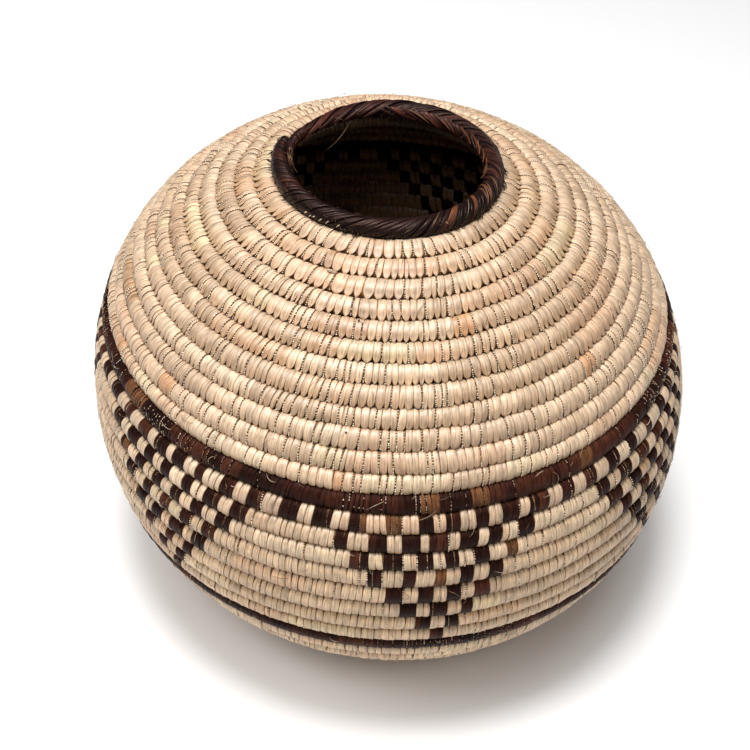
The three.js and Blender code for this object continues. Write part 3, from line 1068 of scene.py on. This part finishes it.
# Round the rim: fuzz at its edges, near-black whiskers over the first course, which are dark fibres and also
# paint the shadow under the rim, pointed ends of the chevron's strands, pale fibres along the splints, pale
# ends of leaf below them, and the wisp that the rim ends in.
FUZZ_COUNT = 120
WHISKER_AND_SHADOW_COUNT = 80
SPIKE_COUNT = 10
SPIKE_TURNS = (0.565, 0.8)
SPIKE_LENGTH = 0.052
SPIKE_FOOT = 137
SPIKE_TIPS = ((0.565, 0.76), (142, 188))
PALE_TURNS = (0.5, 0.53, 0.51, 0.455, 0.4)
PALE_ENDS = (228.9, 231.5, 233.7, 237.5, 241.3, 247)
WISP_COUNT = 12
# One long hair hangs inside: where it starts, and how far it goes and sags in mm.
INNER_HAIR_TURN = 0.908
INNER_HAIR_ANGLE = math.radians(205)
INNER_HAIR_REACH = np.array([-11, -4.5, -14])
INNER_HAIR_SAG = np.array([0.8, 0, -1.2])


def strand_piece(name, strands, rng, material, slot):
    """Closed tubes, thin at both ends, from a path of places, a radius and a tone each."""
    paths, radii, tones = [np.array(each) for each in zip(*strands)]
    swell = 0.25 + 0.75 * np.clip(np.minimum(SHARE / 0.2, (1 - SHARE) / 0.45), 0, 1)
    thick = (radii[:, None] * swell)[..., None, None]
    places = paths[:, :, None] + wheels(unit(np.gradient(paths, axis=1))) * thick
    start = rng.uniform(0, FIBRE_RANGE, (len(paths), 1, 1))
    fibre = np.broadcast_to(fibre_map(start, lengths_along(paths)[..., None] + start), (*places.shape[:3], 2))
    add_piece(name, leaf_tubes(places, fibre, tones), material, slot)


def wall_point(azimuth, level, lift, up=0):
    """Places over the wall's outer face, as if the courses were one smooth skin. up is in mm."""
    at, along = profile_at(edge_length(level) + up)
    return on_wall(at, along, HALF_THICKNESS + lift, 0 * lift, azimuth)


def stray_fibres():
    """Short fibres that have come loose and curl over the courses."""
    rng = np.random.default_rng([SEED, 104])
    column = (STRAY_COUNT, 1)
    low_on_wall = rng.random(column) < 0.5
    turn = np.where(low_on_wall, *[rng.uniform(*turns, column) for turns in STRAY_TURNS])
    reach = rng.uniform(*STRAY_REACH, column) * rng.choice([1, 1.8], column, p=[0.8, 0.2])
    heading = rng.uniform(0, TURN, column)
    angle = heading + rng.normal(0, 1.3, column) * SHARE
    across = np.cumsum(np.cos(angle), axis=1) / STRAND_STEPS * reach
    up = np.cumsum(np.sin(angle), axis=1) / STRAND_STEPS * reach
    radius = coil_at(turn[:, 0])[0][:, :1]
    lift = 0.25 + rng.uniform(0, 0.9, column) * np.sin(math.pi * SHARE) - 0.5 * (SHARE < 0.1)
    paths = wall_point(azimuth_at(turn) + across / radius, turn, lift, up)
    tones = leaf_colours(STRAY_COUNT, rng, zip(STRAY_TONES, (0.4, 0.35, 0.25)), (1, 2), 0.1)
    strands = list(zip(paths, rng.uniform(*THIN_RADII, STRAY_COUNT), tones))

    def add(azimuth, level, lift, radius, tone, up=0):
        strands.append((wall_point(np.radians(azimuth), level, lift, up), radius, tone))

    for (first, low), (last, high) in HAIRS:
        azimuth = first + (last - first) * SHARE
        add(azimuth, low + (high - low) * SHARE, 0.3 + 0.8 * np.sin(3 * SHARE), 0.16, PALE * 0.9)
    # Painted shade: a dark blob in each hole of the awl.
    for azimuth, level in AWL_HOLE_SHADES:
        add(azimuth + 0 * SHARE, level, 0.1 + 0 * SHARE, 0.5, DARK_BROWN * 0.3, 0.9 * SHARE)
    for strand in range(KNOT_STRANDS):
        twist = 3 * math.pi * SHARE + TURN * strand / KNOT_STRANDS
        azimuth = KNOT_AZIMUTHS[0] + (KNOT_AZIMUTHS[1] - KNOT_AZIMUTHS[0]) * SHARE
        add(azimuth, KNOT_LEVEL, 0.5 + 0.4 * np.cos(twist), 0.22, PALE * 0.85, 0.5 * np.sin(twist))
    strand_piece("stray_fibres", strands, rng, NATURAL, "natural_palm")


def rim_strands():
    """The ends that stand out of the rim, and the hair inside it."""
    rng = np.random.default_rng([SEED, 105])
    strands = []

    def add(turns, angle, lift, radius, tone):
        strands.append((rim_place(turns, angle, lift), radius, tone))

    for _ in range(FUZZ_COUNT):
        turn = rng.uniform(RIM_START, RIM_END - 0.03)
        angle = math.radians(rng.choice([rng.uniform(-25, 60), rng.uniform(140, 200)]))
        turns = turn + rng.normal(0, 0.008) * SHARE
        lift = 0.1 + rng.uniform(0.4, 1.6) * SHARE**1.5
        angle = angle + rng.normal(0, 0.5) * SHARE
        radius = rng.uniform(*THIN_RADII)
        tone = STRAY_TONES[rng.choice(3, p=[0.04, 0.16, 0.8])] * rng.uniform(0.3, 0.9)
        add(turns, angle, lift, radius, tone)
    # Partly painted shadow: near-black whiskers under the rim's outer edge, which also stand for dark fibres.
    for turn in rng.uniform(RIM_START, RIM_END - 0.1, WHISKER_AND_SHADOW_COUNT):
        angle = np.radians(rng.uniform(-8, 6) - rng.uniform(8, 20) * SHARE)
        lift = 0.1 + rng.uniform(0.6, 2.3) * SHARE**1.3
        turns = turn + rng.normal(0, 0.006) * SHARE
        add(turns, angle, lift, rng.uniform(0.2, 0.45), DARK_BROWN * rng.uniform(0.06, 0.2))
    for turn in np.linspace(*SPIKE_TURNS, SPIKE_COUNT) + rng.normal(0, 0.005, SPIKE_COUNT):
        turns = turn - SPIKE_LENGTH * rng.uniform(0.6, 1.0) * SHARE
        last = np.interp(turn, *SPIKE_TIPS)
        angle = np.radians(SPIKE_FOOT + rng.normal(0, 4) + (last - SPIKE_FOOT) * SHARE)
        radius = rng.uniform(0.3, 0.45)
        tone = RIM_WARM_TONE * rng.uniform(0.4, 0.9) + TAN * rng.choice([0, 0.12])
        add(turns, angle, 0.2 + 1.3 * SHARE**2, radius, tone)
    for turn in PALE_TURNS:
        lift = 0.4 + 0.1 * np.sin(math.pi * SHARE)
        radius = rng.uniform(0.1, 0.15)
        tone = STRAY_TONES[rng.choice(2)] * 0.6
        add(turn - 0.024 * SHARE, np.radians(112 - 95 * SHARE), lift, radius, tone)
    for azimuth in PALE_ENDS:
        angle = np.radians(rng.uniform(5, 18) - rng.uniform(16, 26) * SHARE)
        turns = turns_from_joint(azimuth) - 0.005 * SHARE
        add(turns, angle, 0.2 + 0.2 * SHARE, rng.uniform(0.2, 0.34), PALE * 1.1)
    hair = rim_place(INNER_HAIR_TURN + 0 * SHARE, INNER_HAIR_ANGLE + 0 * SHARE, 0.2)
    hair = hair + SHARE[:, None] * INNER_HAIR_REACH + np.sin(math.pi * SHARE)[:, None] * INNER_HAIR_SAG
    strands.append((hair, 0.1, TAN))
    for strand in range(WISP_COUNT):
        pale = strand % 4 == 0
        turns = RIM_END + rng.uniform(-0.05, -0.02) + rng.uniform(0.02, 0.05) * SHARE
        angle = rng.uniform(1.0, 2.4) + rng.normal(0, 0.3) * SHARE
        lift = 0.15 + rng.uniform(0, 0.5) * SHARE
        radius = rng.uniform(0.09, 0.14) if pale else rng.uniform(0.15, 0.35)
        add(turns, angle, lift, radius, TAN if pale else DARK_BROWN * rng.uniform(0.15, 0.4))
    strand_piece("rim_strands", strands, rng, SPLINT, "rim_splint")


stray_fibres()
rim_strands()


# The knot in the middle of the base.

KNOT_STRIPS = 15
# How far the strips and the core lie within the knot, in mm.
STRIP_INSET = (0.35, 0.3)
CORE_INSET = 0.2


def knot_piece():
    rng = np.random.default_rng([SEED, 103])
    angle = np.radians(np.linspace(82, -82, 13))
    out, rise = rounded(angle, 2 / 3)
    radius = (KNOT_RADIUS - STRIP_INSET[0]) * out
    height = HALF_THICKNESS + (HALF_THICKNESS - STRIP_INSET[1]) * rise
    middle = np.linspace(0, TURN, KNOT_STRIPS, endpoint=False) + rng.normal(0, 0.03, KNOT_STRIPS)
    half = 0.5 * TURN / KNOT_STRIPS * rng.uniform(0.85, 0.97, KNOT_STRIPS)
    lift = SECTION_H * LOWER_DOME
    out = radius[:, None] + lift * np.cos(angle)[:, None]
    rise = height[:, None] + lift * np.sin(angle)[:, None]
    azimuth = middle[:, None, None] + half[:, None, None] * SECTION_U
    places = place(*np.broadcast_arrays(out[None], rise[None], azimuth))
    across = half[:, None, None] * KNOT_RADIUS * SECTION_U + 20 * np.arange(KNOT_STRIPS)[:, None, None]
    fibre = fibre_map(across, lengths_along(np.stack([radius, height], -1))[None, :, None])
    tones = leaf_colours(KNOT_STRIPS, rng, NATURAL_LEAVES.values(), (3, 9), 0.04)
    strips = leaf_tubes(places[:, :, ::-1], fibre[:, :, ::-1], tones, edge=SECTION_EDGE)
    core_radius = np.concatenate([[0.3], radius - CORE_INSET, [0.3]])[None, :, None]
    core_height = np.concatenate([[height[0] - 0.1], height, [height[-1] + 0.1]])[None, :, None]
    around = np.linspace(0, TURN, 20, endpoint=False)
    core = place(*np.broadcast_arrays(core_radius, core_height, around))
    core = tubes(core, fibre_map(around * KNOT_RADIUS, core_height), columns=1)
    add_piece("start_knot.strips", strips, NATURAL, "natural_palm", "start_knot")
    add_piece("start_knot.core", core, BUNDLE, "natural_palm", "start_knot")


knot_piece()


# The camera, the light and the floor.

CAMERA_TARGET = Vector((-11.25, 0, 101.11))
CAMERA_DISTANCE = 641.2
CAMERA_ELEVATION = math.radians(43.069)
CAMERA_ROLL = math.radians(3.627)
CAMERA_LENS = 65.30
CAMERA_SENSOR = 36
# Each light's place in metres, its size and its power. All of them shine at one point.
LIGHTS = {
    "key": ((-0.55, -0.45, 1.5), 0.6, 4.5),
    "left": ((-1.0, -0.35, 1.15), 0.6, 4),
    "top": ((0, 0, 1.8), 1.2, 14.5),
    "overhead": ((-0.15, -0.25, 1.75), 0.4, 17.5),
    "front": ((-0.3, -0.85, 1.35), 0.6, 4.6),
    "front_right": ((0.7, -0.75, 1.2), 0.6, 2.2),
}
LIGHT_TARGET = Vector((0, 0, 0.12))
WORLD_STRENGTH = 0.08
FLOOR_HALF = 6
FLOOR_DROP = 0.0005


def add_camera():
    data = bpy.data.cameras.new("camera")
    data.lens = CAMERA_LENS
    data.sensor_width = CAMERA_SENSOR
    data.sensor_fit = "HORIZONTAL"
    data.clip_start = 0.01
    data.clip_end = 20
    camera = add_object("camera", data)
    forward = Vector((0, math.cos(CAMERA_ELEVATION), -math.sin(CAMERA_ELEVATION)))
    right = Vector((1, 0, 0))
    up = right.cross(forward)
    rolled_right = math.cos(CAMERA_ROLL) * right + math.sin(CAMERA_ROLL) * up
    rolled_up = math.cos(CAMERA_ROLL) * up - math.sin(CAMERA_ROLL) * right
    turned = Matrix((rolled_right, rolled_up, -forward)).transposed().to_4x4()
    spot = (CAMERA_TARGET - CAMERA_DISTANCE * forward) * MM
    camera.matrix_world = Matrix.Translation(spot) @ turned
    bpy.context.scene.camera = camera


def add_light(name, spot, size, power):
    data = bpy.data.lights.new(name, "AREA")
    data.shape = "DISK"
    data.size = size
    data.energy = power
    light = add_object(name, data)
    light.location = spot
    light.rotation_euler = (LIGHT_TARGET - Vector(spot)).to_track_quat("-Z", "Y").to_euler()


def add_floor():
    material = bpy.data.materials.new("floor")
    material.use_nodes = True
    shader = material.node_tree.nodes["Principled BSDF"]
    shader.inputs["Base Color"].default_value = (0.9, 0.9, 0.9, 1)
    shader.inputs["Roughness"].default_value = 0.9
    mesh = bpy.data.meshes.new("floor")
    corners = [(x * FLOOR_HALF, y * FLOOR_HALF, 0) for x, y in ((-1, -1), (1, -1), (1, 1), (-1, 1))]
    mesh.from_pydata(corners, [], [(0, 1, 2, 3)])
    mesh.materials.append(material)
    floor = add_object("floor", mesh)
    floor.location.z = -FLOOR_DROP


def add_world():
    world = bpy.data.worlds.new("studio")
    world.use_nodes = True
    background = world.node_tree.nodes["Background"]
    background.inputs["Color"].default_value = (1, 1, 1, 1)
    background.inputs["Strength"].default_value = WORLD_STRENGTH
    bpy.context.scene.world = world


add_camera()
add_floor()
add_world()
for name, (spot, size, power) in LIGHTS.items():
    add_light(name, spot, size, power)
bpy.context.scene.view_settings.view_transform = "Standard"
